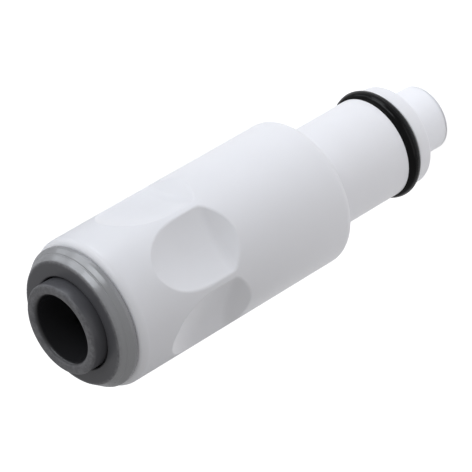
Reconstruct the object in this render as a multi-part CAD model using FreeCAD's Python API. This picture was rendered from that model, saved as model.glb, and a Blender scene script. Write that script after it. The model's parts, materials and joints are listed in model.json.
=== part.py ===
import FreeCAD, Part
import math
import os

from FreeCAD import Vector

# Valved in-line tube coupling, standing on its valve stem: a hexagon-gripped plastic body
# with a sealed plug nose at the bottom and a push-in tube collet at the top.
# Millimetres. The origin is the centre of the stem's tip face and +Z runs up to the collet.
# Radii end in _R, heights along the axis start with Z_.

# Outside lengths, bottom to top
STEM_PROUD = 6.1            # stem tip to nose face, valve shut
NOSE_LENGTH = 18.55         # nose face to shoulder
BARREL_LENGTH = 38.8        # shoulder to mouth
FLANGE_GAP = 0.12           # parting line under the flange
FLANGE_THICK = 2.33
COLLET_PROUD = 2.05         # collet face above the flange face

# Outside radii and walls
BODY_WALL = 2.28            # barrel outside the socket
FLANGE_INSET = 0.58         # flange inside the barrel's outline
NOSE_R = 7.3
STEM_R = 4.7
COLLET_R = 6.4

# Tube
TUBE_R = 4.7625             # 3/8 inch tube
TUBE_SLIP = 0.0375          # radial clearance round the tube
TUBE_DEPTH = 6.0            # length of tube held in the register

# Fits between pieces
RUN_FIT = 0.25              # radial gap round a piece that slides
COLLET_FIT = 0.17           # radial gap round the collet head
SEAT_FIT = 0.05             # gap at a seat within one body
BLADE_BITE = 0.18           # blade tips inside the tube bore

# Barrel edges and the six finger scoops
SHOULDER_ROUND = 1.3
MOUTH_ROUND = 1.2
NOSE_ROUND = 0.4
NOSE_ROOT_ROUND = 0.4       # inside corner of nose and shoulder
FINE_EDGE = 0.1             # small roundings inside and on thin edges
EDGE = 0.2
ON_SURFACE = 0.001          # how far an edge that lies on a surface may be from it
SCOOP_COUNT = 6
SCOOP_DEPTH = 1.93          # barrel to the scoop's floor
SCOOP_LAND = 0.8364         # barrel left between two scoops
SCOOP_START = 5.6           # mouth to where the ramp leaves the barrel
SCOOP_RAMP = 8.0            # ramp along the axis
SCOOP_LEVEL = 3.0           # level floor between ramp and heel
SCOOP_HEEL_ROUND = 2.0      # floor to end wall
SCOOP_WALL_ANGLE = 40.0
SCOOP_EDGE_ROUND = 0.4      # scoop to barrel
RAMP_START = 0.15           # shares of the ramp's length that shape its curve
RAMP_EASE = 0.43
RAMP_LEFT = 0.75            # share of the scoop's depth left after the gentle start

# Bores of the body
SOCKET_DEPTH = 8.15
SOCKET_EDGE = 0.3
SNAP_DEPTH = 0.35           # snap groove into the socket wall
SNAP_LENGTH = 1.1
SNAP_DROP = 4.4             # mouth to snap groove
GLAND_LENGTH = 2.9
GLAND_R = 7.25
CHAMBER_R = 6.6
CHAMBER_TAPER = 1.5
NOSE_BORE_R = 5.9
SHOULDER_FLOOR = 1.2        # end of the nose bore above the shoulder
SEAT_CONE = 1.4             # length of the valve seat cone
SEAT_LAND = 5.6             # nose face to seat cone

# Nose seal
NOSE_RING_SECTION_R = 1.1
NOSE_RING_STAND = 0.65      # seal above the nose surface
NOSE_RING_UP = 3.35         # nose face to seal centre
NOSE_GROOVE_SLACK = 0.1     # groove wider than the seal

# Tube cartridge and washer
OPENING_EDGE = 0.25         # round the collet opening
FACE_BLEND = 0.5            # face to the sloping rim
SEAT_EDGE = 0.15            # outer back edge
CAM_ROOM = 0.35             # radial gap round the full cam
SLEEVE_WALL = 0.85
RIM_SLOPE = 1.2             # width of the sloping rim, seen along the axis
RIM_LAND = 0.6              # upright foot of the sloping rim
RIM_BLEND = 0.3             # slope to foot
WASHER_THICK = 0.75
WASHER_BORE_R = 4.95

# Collet and its blades
HEAD_LENGTH = 3.4
FINGER_R = 5.75
FINGER_COUNT = 6
SLOT_ROOT = 5.6             # collet face to slot ends
SLOT_WIDTH = 1.0
CAM_R = 7.0
CAM_START = 6.2             # collet face to the foot of the cam
CAM_FULL = 8.3              # collet face to the full cam
CAM_GAP = 0.2               # cam to taper, square to both
COLLET_LENGTH = 9.8
MOUTH_LEAD = 0.7            # rounded way in for the tube
RIM_ROUND = 0.35
BLADE_DROP = 9.05           # collet face to blade root
BLADE_THICK = 0.45
BLADE_LEAN = 0.55           # blade tip below its root
BLADE_COVER = 0.7           # cam outside the blade's root
BLADE_ANGLE = 26.0          # degrees round the axis

# Tube seal
TUBE_RING_SECTION_R = 1.29
TUBE_RING_BORE_R = 4.64

# Valve retainer
RETAINER_LENGTH = 11.5
REGISTER_LEAD = 0.5         # rounded way in for the tube
STOP_R = 4.1
SPRING_POCKET = 1.0
SPRING_ROOM = 0.25          # gap round the spring in its pocket
BOSS_WALL = 0.75
BOSS_LENGTH = 7.0
ARM_COUNT = 3
ARM_WIDTH = 1.2
ARM_LENGTH = 3.0

# Valve poppet and its seal
ROD_R = 1.6
ROD_END_GAP = 5.2           # rod end short of the tube stop
STEM_BORE_R = 3.2
STEM_BORE_DEPTH = 11.5
PORT_COUNT = 4
PORT_WIDTH = 2.6
PORT_HEIGHT = 3.2
PORT_UP = 9.7               # stem tip to port centre
LIP_R = 4.75
LIP_START = 11.8            # stem tip to the lip below the seal
HEAD_FLANGE_R = 5.45
POPPET_RING_SECTION_R = 0.8
POPPET_RING_R = 4.9
POPPET_RING_UP = 13.2       # stem tip to seal centre
POPPET_GROOVE_WIDTH = 1.7
HEAD_END = 15.7             # stem tip to the spring face
STEM_ROUND = 0.35
STEM_BORE_EDGE = 0.25
STEM_BORE_END_ROUND = 0.8
ROD_ROOT_ROUND = 0.5
ROD_TIP_ROUND = 0.6

# Spring
SPRING_WIRE_R = 0.45
SPRING_R = 4.9
SPRING_TURNS = 6            # open turns
SPRING_END_TURNS = 1        # closed turns at each end
SPRING_END_PITCH = 0.95

# Heights worked out from the sizes above
Z_NOSE_FACE = STEM_PROUD
Z_SHOULDER = Z_NOSE_FACE + NOSE_LENGTH
Z_MOUTH = Z_SHOULDER + BARREL_LENGTH
Z_FLANGE_SEAT = Z_MOUTH + FLANGE_GAP
Z_FLANGE_FACE = Z_FLANGE_SEAT + FLANGE_THICK
Z_COLLET_FACE = Z_FLANGE_FACE + COLLET_PROUD
Z_SOCKET_FLOOR = Z_MOUTH - SOCKET_DEPTH
Z_RETAINER_TOP = Z_SOCKET_FLOOR - GLAND_LENGTH
Z_RETAINER_END = Z_RETAINER_TOP - RETAINER_LENGTH
Z_TUBE_STOP = Z_RETAINER_TOP - TUBE_DEPTH
Z_SPRING_TOP = Z_RETAINER_END + SPRING_POCKET
Z_SEAT_LOW = Z_NOSE_FACE + SEAT_LAND

# Radii worked out from the sizes above
CAM_BORE_R = CAM_R + CAM_ROOM
SLEEVE_R = CAM_BORE_R + SLEEVE_WALL
SOCKET_R = SLEEVE_R + SEAT_FIT
BARREL_R = SOCKET_R + BODY_WALL
FLANGE_R = BARREL_R - FLANGE_INSET
FACE_R = FLANGE_R - RIM_SLOPE
BLADE_ROOT_R = CAM_R - BLADE_COVER
SCOOP_FLOOR_R = BARREL_R - SCOOP_DEPTH
TUBE_BORE_R = TUBE_R + TUBE_SLIP
STEM_HOLE_R = STEM_R + RUN_FIT
COLLET_HOLE_R = COLLET_R + COLLET_FIT
SPRING_POCKET_R = SPRING_R + SPRING_WIRE_R + SPRING_ROOM
NOSE_GROOVE_R = NOSE_R + NOSE_RING_STAND - 2 * NOSE_RING_SECTION_R - SEAT_FIT


def corner(previous, point, following, radius):
    """Tangent arc of this radius in the corner at point, as its edge and its two ends."""
    back = (previous - point).normalize()
    ahead = (following - point).normalize()
    half = back.getAngle(ahead) / 2
    start = point + back * (radius / math.tan(half))
    end = point + ahead * (radius / math.tan(half))
    middle = point + (back + ahead).normalize() * (radius / math.sin(half) - radius)
    return Part.Arc(start, middle, end).toShape(), start, end


def outline(corners):
    """Closed wire in the XZ plane from (radius, height, rounding) corners."""
    points = [Vector(r, 0, z) for r, z, _ in corners]
    edges = []
    joints = []
    for i, (_, _, rounding) in enumerate(corners):
        if rounding > 0:
            arc, start, end = corner(points[i - 1], points[i], points[(i + 1) % len(points)], rounding)
        else:
            arc, start, end = None, points[i], points[i]
        joints.append((arc, start, end))
    for i, (arc, _, end) in enumerate(joints):
        if arc:
            edges.append(arc)
        edges.append(Part.LineSegment(end, joints[(i + 1) % len(joints)][1]).toShape())
    return Part.Wire(edges)


def turned(corners, angle=360.0):
    """Solid of revolution about the axis."""
    return Part.Face(outline(corners)).revolve(Vector(0, 0, 0), Vector(0, 0, 1), angle)


def ring(mean_r, section_r, z):
    """Round-section seal ring."""
    return Part.makeTorus(mean_r, section_r, Vector(0, 0, z))


def spun(shape, degrees):
    """Copy turned about the axis."""
    copy = shape.copy()
    copy.rotate(Vector(0, 0, 0), Vector(0, 0, 1), degrees)
    return copy


def around(shape, count, first=0.0):
    """Compound of copies evenly spaced about the axis."""
    return Part.makeCompound([spun(shape, first + i * 360.0 / count) for i in range(count)])


def radial_block(r_in, r_out, width, z_low, z_high):
    """Block along +X, centred on the XZ plane."""
    return Part.makeBox(r_out - r_in, width, z_high - z_low, Vector(r_in, -width / 2, z_low))


def scoop_axis_r():
    """Distance from the axis to the scoop's own axis, whose hollow leaves the land between two scoops."""
    half_angle = math.pi / SCOOP_COUNT - SCOOP_LAND / (2 * BARREL_R)
    return (BARREL_R ** 2 - SCOOP_FLOOR_R ** 2) / (2 * (BARREL_R * math.cos(half_angle) - SCOOP_FLOOR_R))


def scoop_cutter():
    """Tool for one finger scoop, on the +X side: turned about an upright axis outside the barrel.

    Its edge is the scoop's floor: ramp that eases in and out, level stretch, rounded heel, end wall."""
    z_start = Z_MOUTH - SCOOP_START
    z_ramp_end = z_start - SCOOP_RAMP
    z_level = z_ramp_end - SCOOP_LEVEL
    wall = math.radians(SCOOP_WALL_ANGLE)
    start = Vector(BARREL_R, 0, z_start)
    start_pole = Vector(SCOOP_FLOOR_R + RAMP_LEFT * SCOOP_DEPTH, 0, z_start - RAMP_START * SCOOP_RAMP)
    ramp_end = Vector(SCOOP_FLOOR_R, 0, z_ramp_end)
    level_end = Vector(SCOOP_FLOOR_R, 0, z_level)
    ramp = Part.BezierCurve()
    ramp.setPoles([start, start_pole, Vector(SCOOP_FLOOR_R, 0, z_start - RAMP_EASE * SCOOP_RAMP), ramp_end])

    def on_heel(angle):
        rise = SCOOP_HEEL_ROUND * (1 - math.cos(angle))
        return Vector(SCOOP_FLOOR_R + rise, 0, z_level - SCOOP_HEEL_ROUND * math.sin(angle))

    heel_end = on_heel(wall)
    clear_start = start + (start - start_pole)
    wall_length = 2 * SCOOP_DEPTH / math.sin(wall)
    wall_end = heel_end + Vector(math.sin(wall), 0, -math.cos(wall)) * wall_length
    axis_end = Vector(scoop_axis_r(), 0, wall_end.z)
    axis_start = Vector(scoop_axis_r(), 0, clear_start.z)
    edges = [
        Part.LineSegment(clear_start, start).toShape(),
        ramp.toShape(),
        Part.LineSegment(ramp_end, level_end).toShape(),
        Part.Arc(level_end, on_heel(wall / 2), heel_end).toShape(),
        Part.LineSegment(heel_end, wall_end).toShape(),
        Part.LineSegment(wall_end, axis_end).toShape(),
        Part.LineSegment(axis_end, axis_start).toShape(),
        Part.LineSegment(axis_start, clear_start).toShape(),
    ]
    return Part.Face(Part.Wire(edges)).revolve(axis_end, Vector(0, 0, 1), 360.0)


def scoop_edges(body):
    """Edges where the scoops meet the barrel's surface."""
    z_low = Z_SHOULDER + SHOULDER_ROUND + FINE_EDGE
    z_high = Z_MOUTH - MOUTH_ROUND - FINE_EDGE

    def meets_barrel(edge):
        if edge.BoundBox.ZMin < z_low or edge.BoundBox.ZMax > z_high:
            return False
        return all(abs(math.hypot(p.x, p.y) - BARREL_R) < ON_SURFACE for p in edge.discretize(7))

    return [edge for edge in body.Edges if meets_barrel(edge)]


def housing():
    """White moulded body: nose, shoulder, barrel and the stepped bore through them."""
    groove_half = NOSE_RING_SECTION_R + NOSE_GROOVE_SLACK / 2
    z_groove = Z_NOSE_FACE + NOSE_RING_UP
    z_nose_bore = Z_SHOULDER + SHOULDER_FLOOR
    z_snap = Z_MOUTH - SNAP_DROP
    z_step = Z_RETAINER_END - SEAT_FIT
    snap_r = SOCKET_R + SNAP_DEPTH
    body = turned([
        (STEM_HOLE_R, Z_NOSE_FACE, EDGE),
        (NOSE_R, Z_NOSE_FACE, NOSE_ROUND),
        (NOSE_R, z_groove - groove_half, FINE_EDGE),
        (NOSE_GROOVE_R, z_groove - groove_half, 0),
        (NOSE_GROOVE_R, z_groove + groove_half, 0),
        (NOSE_R, z_groove + groove_half, FINE_EDGE),
        (NOSE_R, Z_SHOULDER, NOSE_ROOT_ROUND),
        (BARREL_R, Z_SHOULDER, SHOULDER_ROUND),
        (BARREL_R, Z_MOUTH, MOUTH_ROUND),
        (SOCKET_R, Z_MOUTH, SOCKET_EDGE),
        (SOCKET_R, z_snap, 0),
        (snap_r, z_snap, 0),
        (SOCKET_R, z_snap - SNAP_LENGTH, 0),
        (SOCKET_R, Z_SOCKET_FLOOR, 0),
        (GLAND_R, Z_SOCKET_FLOOR, EDGE),
        (GLAND_R, z_step, 0),
        (CHAMBER_R, z_step, 0),
        (CHAMBER_R, z_nose_bore + CHAMBER_TAPER, 0),
        (NOSE_BORE_R, z_nose_bore, 0),
        (NOSE_BORE_R, Z_SEAT_LOW + SEAT_CONE, 0),
        (STEM_HOLE_R, Z_SEAT_LOW, 0),
    ])
    # the first scoop looks along -Y
    body = body.cut(around(scoop_cutter(), SCOOP_COUNT, -90.0)).Solids[0]
    return body.makeFillet(SCOOP_EDGE_ROUND, scoop_edges(body))


def tube_cartridge():
    """Grey flange and sleeve snapped into the body's mouth, tapered inside for the collet's cams."""
    z_end = Z_SOCKET_FLOOR + WASHER_THICK + 2 * SEAT_FIT
    z_snap = Z_MOUTH - SNAP_DROP - SEAT_FIT
    slope = (CAM_R - FINGER_R) / (CAM_FULL - CAM_START)
    taper_shift = CAM_GAP * math.sqrt(1 + slope ** 2) / slope
    z_cam = Z_COLLET_FACE - CAM_FULL + taper_shift
    return turned([
        (COLLET_HOLE_R, Z_FLANGE_FACE, OPENING_EDGE),
        (FACE_R, Z_FLANGE_FACE, FACE_BLEND),
        (FLANGE_R, Z_FLANGE_SEAT + RIM_LAND, RIM_BLEND),
        (FLANGE_R, Z_FLANGE_SEAT, SEAT_EDGE),
        (SLEEVE_R, Z_FLANGE_SEAT, 0),
        (SLEEVE_R, z_snap, 0),
        (SLEEVE_R + SNAP_DEPTH - SEAT_FIT, z_snap, 0),
        (SLEEVE_R, z_snap - SNAP_LENGTH + 3 * SEAT_FIT, 0),
        (SLEEVE_R, z_end, EDGE),
        (CAM_BORE_R, z_end, EDGE),
        (CAM_BORE_R, z_cam - (CAM_BORE_R - CAM_R) / slope, 0),
        (COLLET_HOLE_R, z_cam + (CAM_R - COLLET_HOLE_R) / slope, 0),
    ])


def blade():
    """One steel gripping blade in the +X finger, leaning down towards its tip."""
    z_root = Z_COLLET_FACE - BLADE_DROP
    tip_r = TUBE_BORE_R - BLADE_BITE
    solid = turned([
        (tip_r, z_root - BLADE_LEAN, 0),
        (BLADE_ROOT_R, z_root, 0),
        (BLADE_ROOT_R, z_root + BLADE_THICK, 0),
        (tip_r + BLADE_BITE, z_root + BLADE_THICK - BLADE_LEAN, 0),
    ], BLADE_ANGLE)
    return spun(solid, -BLADE_ANGLE / 2)


def release_collet(blades):
    """Grey collet: round head to press, and slotted fingers that end in cams over the blades."""
    body = turned([
        (TUBE_BORE_R, Z_COLLET_FACE, MOUTH_LEAD),
        (COLLET_R, Z_COLLET_FACE, RIM_ROUND),
        (COLLET_R, Z_COLLET_FACE - HEAD_LENGTH, EDGE),
        (FINGER_R, Z_COLLET_FACE - HEAD_LENGTH, 0),
        (FINGER_R, Z_COLLET_FACE - CAM_START, 0),
        (CAM_R, Z_COLLET_FACE - CAM_FULL, EDGE),
        (CAM_R, Z_COLLET_FACE - COLLET_LENGTH, EDGE),
        (TUBE_BORE_R, Z_COLLET_FACE - COLLET_LENGTH, EDGE),
    ])
    z_root = Z_COLLET_FACE - SLOT_ROOT - SLOT_WIDTH / 2
    slot = radial_block(0, 2 * CAM_R, SLOT_WIDTH, Z_COLLET_FACE - 2 * COLLET_LENGTH, z_root)
    slot = slot.fuse(Part.makeCylinder(SLOT_WIDTH / 2, 2 * CAM_R, Vector(0, 0, z_root), Vector(1, 0, 0)))
    body = body.cut(around(slot, FINGER_COUNT, 180.0 / FINGER_COUNT))
    return body.cut(Part.makeCompound(blades))


def backup_washer():
    """Flat washer between the cartridge and the tube seal."""
    z_low = Z_SOCKET_FLOOR + SEAT_FIT
    return turned([
        (WASHER_BORE_R, z_low, FINE_EDGE),
        (SOCKET_R - SEAT_FIT, z_low, FINE_EDGE),
        (SOCKET_R - SEAT_FIT, z_low + WASHER_THICK, FINE_EDGE),
        (WASHER_BORE_R, z_low + WASHER_THICK, FINE_EDGE),
    ])


def tube_oring():
    """Seal that grips the tube, in the gland between the washer and the retainer."""
    z = Z_SOCKET_FLOOR - GLAND_LENGTH / 2
    return ring(TUBE_RING_BORE_R + TUBE_RING_SECTION_R, TUBE_RING_SECTION_R, z)


def valve_retainer():
    """Inner sleeve: register and stop for the tube, three-armed guide, pocket for the spring."""
    outer_r = GLAND_R - SEAT_FIT
    hole_r = ROD_R + RUN_FIT
    sleeve = turned([
        (TUBE_BORE_R, Z_RETAINER_TOP, REGISTER_LEAD),
        (outer_r, Z_RETAINER_TOP, EDGE),
        (outer_r, Z_RETAINER_END, EDGE),
        (SPRING_POCKET_R, Z_RETAINER_END, EDGE),
        (SPRING_POCKET_R, Z_SPRING_TOP, 0),
        (STOP_R, Z_SPRING_TOP, 0),
        (STOP_R, Z_TUBE_STOP, EDGE),
        (TUBE_BORE_R, Z_TUBE_STOP, 0),
    ])
    z_boss = Z_SPRING_TOP + ARM_LENGTH
    boss = turned([
        (hole_r, z_boss, EDGE),
        (hole_r + BOSS_WALL, z_boss, EDGE),
        (hole_r + BOSS_WALL, z_boss - BOSS_LENGTH, EDGE),
        (hole_r, z_boss - BOSS_LENGTH, EDGE),
    ])
    arm = radial_block(hole_r + BOSS_WALL / 2, STOP_R + BOSS_WALL / 2, ARM_WIDTH, Z_SPRING_TOP, z_boss)
    return sleeve.fuse([boss] + around(arm, ARM_COUNT, 90.0).Solids).removeSplitter()


def half_turn(side, z_start, rise):
    """Half a turn of spring wire from +X (side 1) or -X (side -1), as half a tilted torus."""
    start = Vector(side * SPRING_R, 0, z_start)
    section = Part.Face(Part.Wire(Part.makeCircle(SPRING_WIRE_R, start, Vector(0, 1, 0))))
    middle = Vector(0, 0, z_start + rise / 2)
    return section.revolve(middle, Vector(side * rise, 0, 2 * SPRING_R), 180.0)


def valve_spring():
    """Compression spring with closed turns at both ends, between the poppet and the retainer."""
    z = HEAD_END + SEAT_FIT + SPRING_WIRE_R
    z_high = Z_SPRING_TOP - SEAT_FIT - SPRING_WIRE_R
    closed = [SPRING_END_PITCH / 2] * (2 * SPRING_END_TURNS)
    open_halves = 2 * SPRING_TURNS
    open_rise = (z_high - z - 2 * sum(closed)) / open_halves
    halves = []
    side = 1
    for rise in closed + [open_rise] * open_halves + closed:
        halves.append(half_turn(side, z, rise))
        side = -side
        z += rise
    return halves[0].fuse(halves[1:]).removeSplitter()


def valve_poppet():
    """Valve member: hollow ported stem, head with a seal groove, and a guide rod behind."""
    z_groove_low = POPPET_RING_UP - POPPET_GROOVE_WIDTH / 2
    z_groove_high = POPPET_RING_UP + POPPET_GROOVE_WIDTH / 2
    groove_r = POPPET_RING_R - POPPET_RING_SECTION_R
    z_rod_end = Z_TUBE_STOP - ROD_END_GAP
    body = turned([
        (STEM_BORE_R, 0, STEM_BORE_EDGE),
        (STEM_R, 0, STEM_ROUND),
        (STEM_R, LIP_START, 0),
        (LIP_R, LIP_START, 0),
        (LIP_R, z_groove_low, 0),
        (groove_r, z_groove_low, 0),
        (groove_r, z_groove_high, 0),
        (HEAD_FLANGE_R, z_groove_high, EDGE),
        (HEAD_FLANGE_R, HEAD_END, EDGE),
        (ROD_R, HEAD_END, ROD_ROOT_ROUND),
        (ROD_R, z_rod_end, ROD_TIP_ROUND),
        (0, z_rod_end, 0),
        (0, STEM_BORE_DEPTH, 0),
        (STEM_BORE_R, STEM_BORE_DEPTH, STEM_BORE_END_ROUND),
    ])
    half = PORT_WIDTH / 2
    straight = (PORT_HEIGHT - PORT_WIDTH) / 2
    port = radial_block(0, 2 * STEM_R, PORT_WIDTH, PORT_UP - straight, PORT_UP + straight)
    for z in (PORT_UP - straight, PORT_UP + straight):
        port = port.fuse(Part.makeCylinder(half, 2 * STEM_R, Vector(0, 0, z), Vector(1, 0, 0)))
    return body.cut(around(port, PORT_COUNT, 45.0))


def poppet_oring():
    """Valve seal, carried on the poppet and pressed to the seat cone."""
    return ring(POPPET_RING_R, POPPET_RING_SECTION_R, POPPET_RING_UP)


def nose_oring():
    """Plug seal on the nose."""
    mean_r = NOSE_R + NOSE_RING_STAND - NOSE_RING_SECTION_R
    return ring(mean_r, NOSE_RING_SECTION_R, Z_NOSE_FACE + NOSE_RING_UP)


def main():
    os.makedirs("parts", exist_ok=True)
    blades = [spun(blade(), i * 360.0 / FINGER_COUNT) for i in range(FINGER_COUNT)]
    nodes = {
        "housing": housing(),
        "tube_cartridge": tube_cartridge(),
        "release_collet": release_collet(blades),
        "backup_washer": backup_washer(),
        "tube_oring": tube_oring(),
        "valve_retainer": valve_retainer(),
        "valve_spring": valve_spring(),
        "valve_poppet": valve_poppet(),
        "poppet_oring": poppet_oring(),
        "nose_oring": nose_oring(),
    }
    for i, solid in enumerate(blades):
        nodes[f"grip_blade_{i + 1}"] = solid
    for name, shape in nodes.items():
        if len(shape.Solids) == 1:
            shape = shape.Solids[0]
        shape.exportStep(f"parts/{name}.step")
        print(name, "valid" if shape.isValid() else "INVALID", len(shape.Solids), round(shape.Volume, 1))


main()
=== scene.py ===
import json
import math

import bmesh
import bpy
from mathutils import Matrix, Vector

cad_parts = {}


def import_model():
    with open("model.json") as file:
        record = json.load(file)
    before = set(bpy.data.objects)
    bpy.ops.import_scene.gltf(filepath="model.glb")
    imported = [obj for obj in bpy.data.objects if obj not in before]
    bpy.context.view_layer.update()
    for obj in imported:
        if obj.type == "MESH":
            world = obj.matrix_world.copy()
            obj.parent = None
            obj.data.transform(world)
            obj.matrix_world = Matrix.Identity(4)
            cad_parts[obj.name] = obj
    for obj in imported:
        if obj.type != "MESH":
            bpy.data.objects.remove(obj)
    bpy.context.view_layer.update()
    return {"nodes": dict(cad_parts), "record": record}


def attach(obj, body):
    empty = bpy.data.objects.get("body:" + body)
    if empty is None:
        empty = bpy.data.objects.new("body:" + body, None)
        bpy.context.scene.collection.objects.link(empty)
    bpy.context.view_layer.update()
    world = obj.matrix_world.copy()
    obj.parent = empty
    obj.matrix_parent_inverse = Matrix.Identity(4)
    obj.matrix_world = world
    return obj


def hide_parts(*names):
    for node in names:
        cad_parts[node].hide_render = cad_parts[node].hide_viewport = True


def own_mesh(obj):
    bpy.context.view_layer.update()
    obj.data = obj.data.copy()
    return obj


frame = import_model()

MM = 0.001

# Valve spring: one wire, closed and ground flat at both ends
SPRING_R = 4.9 * MM
WIRE_R = 0.45 * MM
SPRING_LOW = 15.75 * MM
SPRING_HIGH = 41.85 * MM
OPEN_TURNS = 6
END_TURNS = 1
TURNS = 2 * END_TURNS + OPEN_TURNS
END_PITCH = 0.95 * MM
EASE_TURNS = 0.25           # the pitch changes over this much to either side
EASE_SAMPLES = 12
STEPS_PER_TURN = 56
WIRE_SIDES = 16
GROUND = 0.12 * MM          # taken off the wire where the ends are ground flat

# Camera, from a fit to the photo
CAMERA_AT = Vector((-0.001039, -0.387139, 0.300396))
CAMERA_RIGHT = Vector((-0.508733, -0.484118, -0.711913))
CAMERA_UP = Vector((0.860924, -0.286073, -0.420680))
LENS_MM = 269.31
SENSOR_MM = 36.0
NEAREST = 0.02
FARTHEST = 20.0

# Lamps: name, angle round the axis (0 is -Y, 90 is +X), elevation, distance, width, height, watts, colour
AIM = Vector((0.0, 0.0, 0.040))
COOL = (0.905, 0.945, 1.0)
FAR = 0.80
LAMPS = [
    ("Key softbox front", 46.0, 31.0, FAR, 0.40, 0.20, 0.96, COOL),
    ("Key softbox", 75.0, 23.0, FAR, 0.44, 0.20, 0.73, COOL),
    ("Key softbox back", 105.0, 12.0, FAR, 0.44, 0.20, 0.39, COOL),
    ("Side strip", 68.0, -4.0, 0.12, 0.06, 0.07, 0.036, COOL),
    ("Front strip", -25.0, -12.0, 0.14, 0.16, 0.06, 0.029, (1.0, 0.985, 0.99)),
    ("Light table", 0.0, -90.0, 0.0395, 0.12, 0.12, 0.018, (1.0, 0.99, 1.0)),
    ("Top softbox", 120.0, 60.0, FAR, 0.50, 0.50, 0.6, (0.98, 0.99, 1.0)),
]

# Surroundings
WORLD_LEVEL = 0.41
FLOOR_SIZE = 3.0
FLOOR_COLOUR = (0.66, 0.66, 0.67, 1.0)
FLOOR_LIFT = 0.74           # added for the eye only, so the floor reads as white

# Places on the grey pieces
RIM_INNER_R = 8.72 * MM     # where the flange's sloping rim starts
RIM_BLEND = 0.12 * MM
RIM_STEP_R = 9.42 * MM      # fine step round the rim
BORE_R = 4.85 * MM          # the collet's bore; inside it the grey is darkened as painted shade
BORE_BLEND = 0.25 * MM
LIP_HEIGHT = 67.95 * MM     # the collet's face

# The two tints that each material's clouding runs between, and the single tints
BODY_TINTS = ((0.815, 0.815, 0.838, 1.0), (0.832, 0.833, 0.860, 1.0))
STEM_TINTS = ((0.850, 0.856, 0.885, 1.0), (0.870, 0.876, 0.905, 1.0))
GREY_TINTS = ((0.074, 0.074, 0.081, 1.0), (0.090, 0.090, 0.098, 1.0))
NATURAL_TINTS = ((0.64, 0.63, 0.57, 1.0), (0.71, 0.70, 0.65, 1.0))
RUBBER_TINTS = ((0.0020, 0.0020, 0.0022, 1.0), (0.0040, 0.0040, 0.0044, 1.0))
STEEL_TINTS = ((0.56, 0.56, 0.57, 1.0), (0.68, 0.68, 0.68, 1.0))
# the sloping rim's own lighter grey, made paler still as painted highlight
RIM_GREY_WITH_HIGHLIGHT = (0.282, 0.284, 0.293, 1.0)
# painted highlight: paler grey along the flange face's edge and over the collet's lip and face
EDGE_HIGHLIGHT_TINT = (0.180, 0.180, 0.188, 1.0)
# painted shade: the grey inside the collet's bore is darkened to this
BORE_SHADE_TINT = (0.022, 0.022, 0.024, 1.0)

# Roughness from the smoothest to the roughest cloud, and what scuffs or patches add at most
WHITE_ROUGH = (0.285, 0.305)
SCUFF_ROUGH = 0.02
GREY_ROUGH = 0.29
RIM_ROUGH = 0.17
PATCH_ROUGH = 0.06
NATURAL_ROUGH = (0.40, 0.50)
RUBBER_ROUGH = (0.15, 0.22)
FLASH_ROUGH = 0.04
STEEL_ROUGH = (0.16, 0.22)
STEEL_DULL = 0.04

# Specular levels, and the shallow glow of the white plastics
PLASTIC_SHEEN = 0.5
RIM_SHEEN = 1.0
RUBBER_SHEEN = 0.14
WHITE_GLOW = {
    "Specular_IOR_Level": PLASTIC_SHEEN,
    "Subsurface_Weight": 0.12,
    "Subsurface_Radius": (1.0, 0.95, 0.9),
    "Subsurface_Scale": 0.5 * MM,
}
NATURAL_GLOW = {
    "Subsurface_Weight": 0.2,
    "Subsurface_Radius": (1.0, 0.9, 0.7),
    "Subsurface_Scale": 0.8 * MM,
}

SHARP_DEGREES = 28.0        # edges sharper than this stay sharp


def along(angle, elevation):
    """Unit direction from the object: angle 0 is -Y and 90 is +X."""
    a = math.radians(angle)
    e = math.radians(elevation)
    return Vector((math.sin(a) * math.cos(e), -math.cos(a) * math.cos(e), math.sin(e)))


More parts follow.
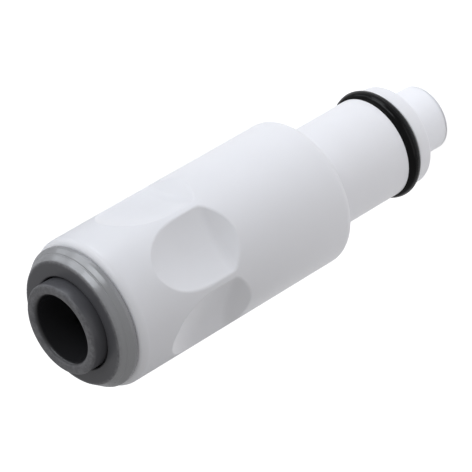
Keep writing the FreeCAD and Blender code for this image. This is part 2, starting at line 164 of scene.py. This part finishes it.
class Graph:
    """Small helper that adds and links nodes of one material or world."""

    def __init__(self, owner):
        owner.use_nodes = True
        self.tree = owner.node_tree
        self.tree.nodes.clear()

    def add(self, kind, settings=None, **inputs):
        """New node. An input is named as its socket, with _ for a space, or by place as _0, _1 and so on."""
        node = self.tree.nodes.new(kind)
        for key, value in (settings or {}).items():
            setattr(node, key, value)
        for key, value in inputs.items():
            self.put(node, key, value)
        return node

    def put(self, node, key, value):
        """Link a socket, or set a plain value."""
        by_place = key[0] == "_"
        socket = node.inputs[int(key[1:])] if by_place else node.inputs[key.replace("_", " ")]
        if isinstance(value, bpy.types.NodeSocket):
            self.tree.links.new(value, socket)
        else:
            socket.default_value = value

    def object_place(self):
        return self.add("ShaderNodeTexCoord").outputs["Object"]

    def maths(self, operation, a, b=0.0):
        return self.add("ShaderNodeMath", {"operation": operation}, _0=a, _1=b).outputs[0]

    def vector_maths(self, operation, result, **inputs):
        return self.add("ShaderNodeVectorMath", {"operation": operation}, **inputs).outputs[result]

    def blend(self, factor, a, b):
        node = self.add("ShaderNodeMix", {"data_type": "RGBA"}, _0=factor, _6=a, _7=b)
        return node.outputs[2]

    def spread(self, value, low, high, to_low, to_high):
        """Map low..high to to_low..to_high, held at both ends."""
        node = self.add(
            "ShaderNodeMapRange", {"clamp": True},
            _0=value, _1=low, _2=high, _3=to_low, _4=to_high,
        )
        return node.outputs[0]

    def noise(self, vector, size, detail=3.0, rough=0.5, stretch=None):
        """Noise whose grain is about size metres."""
        if stretch:
            vector = self.vector_maths("MULTIPLY", 0, _0=vector, _1=stretch)
        node = self.add(
            "ShaderNodeTexNoise",
            Vector=vector, Scale=1.0 / size, Detail=detail, Roughness=rough,
        )
        return node.outputs["Fac"]

    def band(self, value, centre, half, soft):
        """1 within half of centre, falling to 0 over soft."""
        away = self.maths("ABSOLUTE", self.maths("SUBTRACT", value, centre))
        return self.spread(away, half, half + soft, 1.0, 0.0)

    def bump(self, height, metres, normal=None):
        node = self.add("ShaderNodeBump", Strength=1.0, Distance=metres, Height=height)
        if normal is not None:
            self.put(node, "Normal", normal)
        return node.outputs["Normal"]

    def surface(self, colour, roughness, normal, **fixed):
        """Principled surface with linked colour, roughness and normal, and the rest on its sockets."""
        shader = self.add(
            "ShaderNodeBsdfPrincipled",
            Base_Color=colour, Roughness=roughness, Normal=normal, **fixed,
        )
        self.add("ShaderNodeOutputMaterial", Surface=shader.outputs[0])


def new_material(name):
    material = bpy.data.materials.new(name)
    return material, Graph(material)


def white_body():
    """Glossy white moulded body: faint flow clouding, fine moulded grain, a few handling scuffs."""
    material, g = new_material("White moulded plastic")
    at = g.object_place()
    cloud = g.noise(at, 7.0 * MM, detail=2.0)
    grain = g.noise(at, 0.16 * MM, rough=0.6)
    sink = g.noise(at, 5.0 * MM, detail=1.0)
    scuff = g.noise(at, 0.5 * MM, detail=4.0, rough=0.7, stretch=(1.0, 1.0, 0.12))
    colour = g.blend(cloud, *BODY_TINTS)
    scuffed = g.spread(scuff, 0.50, 0.95, 0.0, SCUFF_ROUGH)
    rough = g.maths("ADD", g.spread(cloud, 0.2, 0.8, *WHITE_ROUGH), scuffed)
    normal = g.bump(grain, 0.0035 * MM, g.bump(sink, 0.006 * MM))
    g.surface(colour, rough, normal, **WHITE_GLOW)
    return material


def white_stem():
    """The valve's own white plastic, a little brighter than the body."""
    material, g = new_material("White valve plastic")
    at = g.object_place()
    cloud = g.noise(at, 3.0 * MM, detail=2.0)
    grain = g.noise(at, 0.12 * MM, rough=0.6)
    colour = g.blend(cloud, *STEM_TINTS)
    rough = g.spread(cloud, 0.3, 0.7, *WHITE_ROUGH)
    g.surface(colour, rough, g.bump(grain, 0.0025 * MM), **WHITE_GLOW)
    return material


def grey_plastic():
    """Dark grey moulded plastic, with a paler sloping rim that is partly its own lighter grey and partly
    painted highlight, paler patchy bands on the edges that are painted highlight, and painted shade
    darkening the bore.
    """
    material, g = new_material("Grey moulded plastic")
    at = g.object_place()
    height = g.add("ShaderNodeSeparateXYZ", Vector=at).outputs["Z"]
    flat = g.vector_maths("MULTIPLY", 0, _0=at, _1=(1.0, 1.0, 0.0))
    radius = g.vector_maths("LENGTH", "Value", _0=flat)
    cloud = g.noise(at, 2.5 * MM)
    grain = g.noise(at, 0.11 * MM, detail=2.0, rough=0.6)
    patchy = g.noise(at, 0.7 * MM, detail=4.0, rough=0.7)

    rim = g.spread(radius, RIM_INNER_R, RIM_INNER_R + RIM_BLEND, 0.0, 1.0)
    bore = g.spread(radius, BORE_R, BORE_R + BORE_BLEND, 1.0, 0.0)
    step = g.band(radius, RIM_STEP_R, 0.02 * MM, 0.07 * MM)
    face_edge = g.band(radius, RIM_INNER_R, 0.10 * MM, 0.25 * MM)
    lip = g.band(height, LIP_HEIGHT, 0.05 * MM, 0.30 * MM)
    edges = g.maths("MAXIMUM", face_edge, lip)
    # painted highlight along the edges, broken up in patches
    edge_highlight = g.maths("MULTIPLY", edges, g.spread(patchy, 0.4, 0.65, 0.1, 0.75))

    # rim: partly its own lighter grey, partly painted highlight
    colour = g.blend(rim, g.blend(cloud, *GREY_TINTS), RIM_GREY_WITH_HIGHLIGHT)
    colour = g.blend(edge_highlight, colour, EDGE_HIGHLIGHT_TINT)
    # painted shade: darken the grey inside the bore
    colour = g.blend(bore, colour, BORE_SHADE_TINT)
    patches = g.spread(patchy, 0.45, 0.7, 0.0, PATCH_ROUGH)
    rough = g.maths("ADD", g.spread(rim, 0.0, 1.0, GREY_ROUGH, RIM_ROUGH), patches)
    relief = g.maths("SUBTRACT", cloud, g.maths("MULTIPLY", step, 3.0))
    normal = g.bump(grain, 0.004 * MM, g.bump(relief, 0.012 * MM))
    sheen = g.spread(rim, 0.0, 1.0, PLASTIC_SHEEN, RIM_SHEEN)
    g.surface(colour, rough, normal, Specular_IOR_Level=sheen)
    return material


def natural_plastic():
    """Undyed plastic of the hidden sleeve and washer: warm, a little translucent."""
    material, g = new_material("Natural moulded plastic")
    at = g.object_place()
    cloud = g.noise(at, 3.0 * MM)
    grain = g.noise(at, 0.14 * MM, detail=2.0)
    colour = g.blend(cloud, *NATURAL_TINTS)
    rough = g.spread(cloud, 0.3, 0.7, *NATURAL_ROUGH)
    g.surface(colour, rough, g.bump(grain, 0.003 * MM), **NATURAL_GLOW)
    return material


def black_rubber():
    """Seal rubber: near black, satin, with the mould's thin flash line round its middle."""
    material, g = new_material("Black seal rubber")
    coords = g.add("ShaderNodeTexCoord").outputs
    up = g.add("ShaderNodeSeparateXYZ", Vector=coords["Generated"]).outputs["Z"]
    cloud = g.noise(coords["Object"], 1.2 * MM)
    grain = g.noise(coords["Object"], 0.09 * MM, detail=2.0, rough=0.6)
    flash = g.band(up, 0.5, 0.008, 0.02)
    colour = g.blend(cloud, *RUBBER_TINTS)
    flash_rough = g.maths("MULTIPLY", flash, FLASH_ROUGH)
    rough = g.maths("ADD", g.spread(cloud, 0.35, 0.65, *RUBBER_ROUGH), flash_rough)
    normal = g.bump(grain, 0.004 * MM, g.bump(flash, 0.02 * MM))
    g.surface(colour, rough, normal, Specular_IOR_Level=RUBBER_SHEEN)
    return material


def stainless():
    """Bright drawn steel with fine streaks and a few duller patches."""
    material, g = new_material("Stainless steel")
    at = g.object_place()
    streak = g.noise(at, 0.05 * MM, rough=0.6, stretch=(0.25, 0.25, 1.0))
    cloud = g.noise(at, 0.9 * MM)
    colour = g.blend(cloud, *STEEL_TINTS)
    dull = g.spread(cloud, 0.5, 0.7, 0.0, STEEL_DULL)
    rough = g.maths("ADD", g.spread(streak, 0.3, 0.7, *STEEL_ROUGH), dull)
    g.surface(colour, rough, g.bump(streak, 0.002 * MM), Metallic=1.0)
    return material


def floor_material():
    """Pale floor that reads as white to the eye and keeps the shadow."""
    material, g = new_material("Studio floor")
    rays = g.add("ShaderNodeLightPath").outputs
    seen = g.maths("MAXIMUM", rays["Is Camera Ray"], rays["Is Transmission Ray"])
    matt = g.add("ShaderNodeBsdfDiffuse", Color=FLOOR_COLOUR)
    glow = g.add("ShaderNodeEmission", Strength=g.maths("MULTIPLY", seen, FLOOR_LIFT))
    both = g.add("ShaderNodeAddShader", _0=matt.outputs[0], _1=glow.outputs[0])
    g.add("ShaderNodeOutputMaterial", Surface=both.outputs[0])
    return material


def dress(obj, material):
    """One material on every slot, and smooth shading with sharp edges kept."""
    mesh = obj.data
    if not mesh.materials:
        mesh.materials.append(material)
    for slot in obj.material_slots:
        slot.material = material
    if not mesh.has_custom_normals:
        mesh.shade_smooth()
        mesh.set_sharp_from_angle(angle=math.radians(SHARP_DEGREES))


def new_piece(name, bm):
    """Object in the scene with the mesh of bm."""
    mesh = bpy.data.meshes.new(name)
    bm.to_mesh(mesh)
    bm.free()
    piece = bpy.data.objects.new(name, mesh)
    bpy.context.scene.collection.objects.link(piece)
    return piece


def spring_height(turn):
    """Height of the wire's centre after this many turns: slow at both closed ends, even between."""
    low = SPRING_LOW + WIRE_R - GROUND
    rise = SPRING_HIGH - SPRING_LOW - 2 * (WIRE_R - GROUND)
    open_rise = rise - 2 * END_TURNS * END_PITCH
    if turn <= END_TURNS:
        return low + turn * END_PITCH
    if turn >= END_TURNS + OPEN_TURNS:
        return low + rise - (TURNS - turn) * END_PITCH
    share = (turn - END_TURNS) / OPEN_TURNS
    return low + END_TURNS * END_PITCH + share * open_rise


def eased_height(turn):
    """spring_height averaged over half a turn, so that the pitch changes smoothly."""
    if not EASE_TURNS <= turn <= TURNS - EASE_TURNS:
        return spring_height(turn)
    shares = [(i + 0.5) / EASE_SAMPLES for i in range(EASE_SAMPLES)]
    heights = [spring_height(turn + (2 * share - 1) * EASE_TURNS) for share in shares]
    return sum(heights) / EASE_SAMPLES


def wire_ring(bm, turn):
    """One ring of vertices round the spring's wire, cut off flat at the ground ends."""
    angle = 2 * math.pi * turn
    outward = Vector((math.cos(angle), math.sin(angle), 0.0))
    centre = outward * SPRING_R + Vector((0.0, 0.0, eased_height(turn)))
    ring = []
    for k in range(WIRE_SIDES):
        a = 2 * math.pi * k / WIRE_SIDES
        point = centre + (outward * math.cos(a) + Vector((0.0, 0.0, math.sin(a)))) * WIRE_R
        point.z = min(max(point.z, SPRING_LOW), SPRING_HIGH)
        ring.append(bm.verts.new(point))
    return ring


def coil_spring(material):
    """The valve spring as one smooth wire, its end turns ground flat."""
    bm = bmesh.new()
    rings = [wire_ring(bm, i / STEPS_PER_TURN) for i in range(TURNS * STEPS_PER_TURN + 1)]
    for lower, upper in zip(rings, rings[1:]):
        for k in range(WIRE_SIDES):
            n = (k + 1) % WIRE_SIDES
            bm.faces.new((lower[k], lower[n], upper[n], upper[k]))
    bm.faces.new(rings[0])
    bm.faces.new(list(reversed(rings[-1])))
    bmesh.ops.recalc_face_normals(bm, faces=bm.faces)
    piece = new_piece("Coil_spring", bm)
    dress(piece, material)
    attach(piece, "housing_body")
    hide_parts("valve_spring")
    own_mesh(piece)


def studio_floor():
    bm = bmesh.new()
    bmesh.ops.create_grid(bm, x_segments=1, y_segments=1, size=FLOOR_SIZE)
    floor = new_piece("Studio_floor", bm)
    floor.data.materials.append(floor_material())


def world():
    """Even pale surroundings, white to the eye."""
    sky = bpy.data.worlds.new("Studio surroundings")
    g = Graph(sky)
    seen = g.add("ShaderNodeLightPath").outputs["Is Camera Ray"]
    level = g.spread(seen, 0.0, 1.0, WORLD_LEVEL, 1.0)
    light = g.add("ShaderNodeBackground", Color=(1.0, 1.0, 1.0, 1.0), Strength=level)
    g.add("ShaderNodeOutputWorld", Surface=light.outputs[0])
    bpy.context.scene.world = sky


def lamp(name, angle, elevation, distance, width, height, watts, colour):
    """Rectangular softbox that looks at the middle of the object."""
    data = bpy.data.lights.new(name, "AREA")
    data.shape = "RECTANGLE"
    data.size = width
    data.size_y = height
    data.energy = watts
    data.color = colour
    obj = bpy.data.objects.new(name, data)
    toward = along(angle, elevation)
    obj.location = AIM + toward * distance
    obj.rotation_euler = toward.to_track_quat("Z", "Y").to_euler()
    obj.visible_camera = False
    bpy.context.scene.collection.objects.link(obj)


def camera():
    data = bpy.data.cameras.new("Camera")
    data.sensor_fit = "HORIZONTAL"
    data.sensor_width = SENSOR_MM
    data.lens = LENS_MM
    data.clip_start = NEAREST
    data.clip_end = FARTHEST
    obj = bpy.data.objects.new("Camera", data)
    back = CAMERA_RIGHT.cross(CAMERA_UP).normalized()
    up = back.cross(CAMERA_RIGHT).normalized()
    right = up.cross(back)
    turn = Matrix((right, up, back)).transposed()
    obj.matrix_world = Matrix.Translation(CAMERA_AT) @ turn.to_4x4()
    bpy.context.scene.collection.objects.link(obj)
    bpy.context.scene.camera = obj


def main():
    materials = {
        "white_body": white_body(),
        "grey_plastic": grey_plastic(),
        "natural_plastic": natural_plastic(),
        "black_rubber": black_rubber(),
        "stainless": stainless(),
    }
    for part in frame["record"]["subparts"]:
        dress(frame["nodes"][part["node"]], materials[part["material_slot"]])
    dress(frame["nodes"]["valve_poppet"], white_stem())
    coil_spring(materials["stainless"])
    studio_floor()
    world()
    for settings in LAMPS:
        lamp(*settings)
    camera()
    bpy.context.scene.view_settings.view_transform = "Standard"


main()
